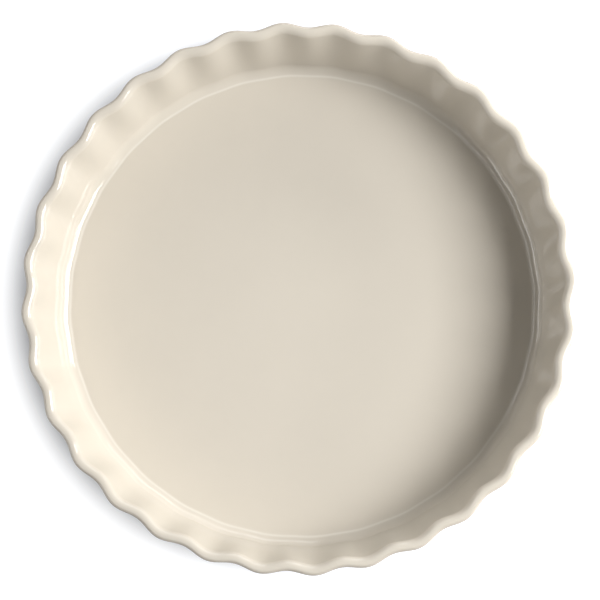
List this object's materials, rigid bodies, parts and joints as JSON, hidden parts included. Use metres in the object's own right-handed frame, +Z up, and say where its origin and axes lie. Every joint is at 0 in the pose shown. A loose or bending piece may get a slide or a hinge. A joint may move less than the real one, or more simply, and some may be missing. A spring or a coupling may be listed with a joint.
{
  "type": "quiche dish",
  "caption": "Round, deep glazed stoneware quiche dish with a fluted, outward-leaning wall, a smooth rounded rim, a flat floor and a bare foot ring.",
  "frame": {"origin": "on the table, at the centre of the foot ring", "axes": "+Z up along the dish's axis, out of its mouth; a flute's crest lies on +X"},
  "size_m": [0.2898, 0.2898, 0.055],
  "materials": {
    "bare_stoneware": "matte, fired and unglazed",
    "cream_glaze": "gloss cream glaze"
  },
  "bodies": {
    "root": {"stoneware_body": "bare_stoneware", "glaze_coat": "cream_glaze", "base_glaze": "cream_glaze"}
  },
  "joints": []
}
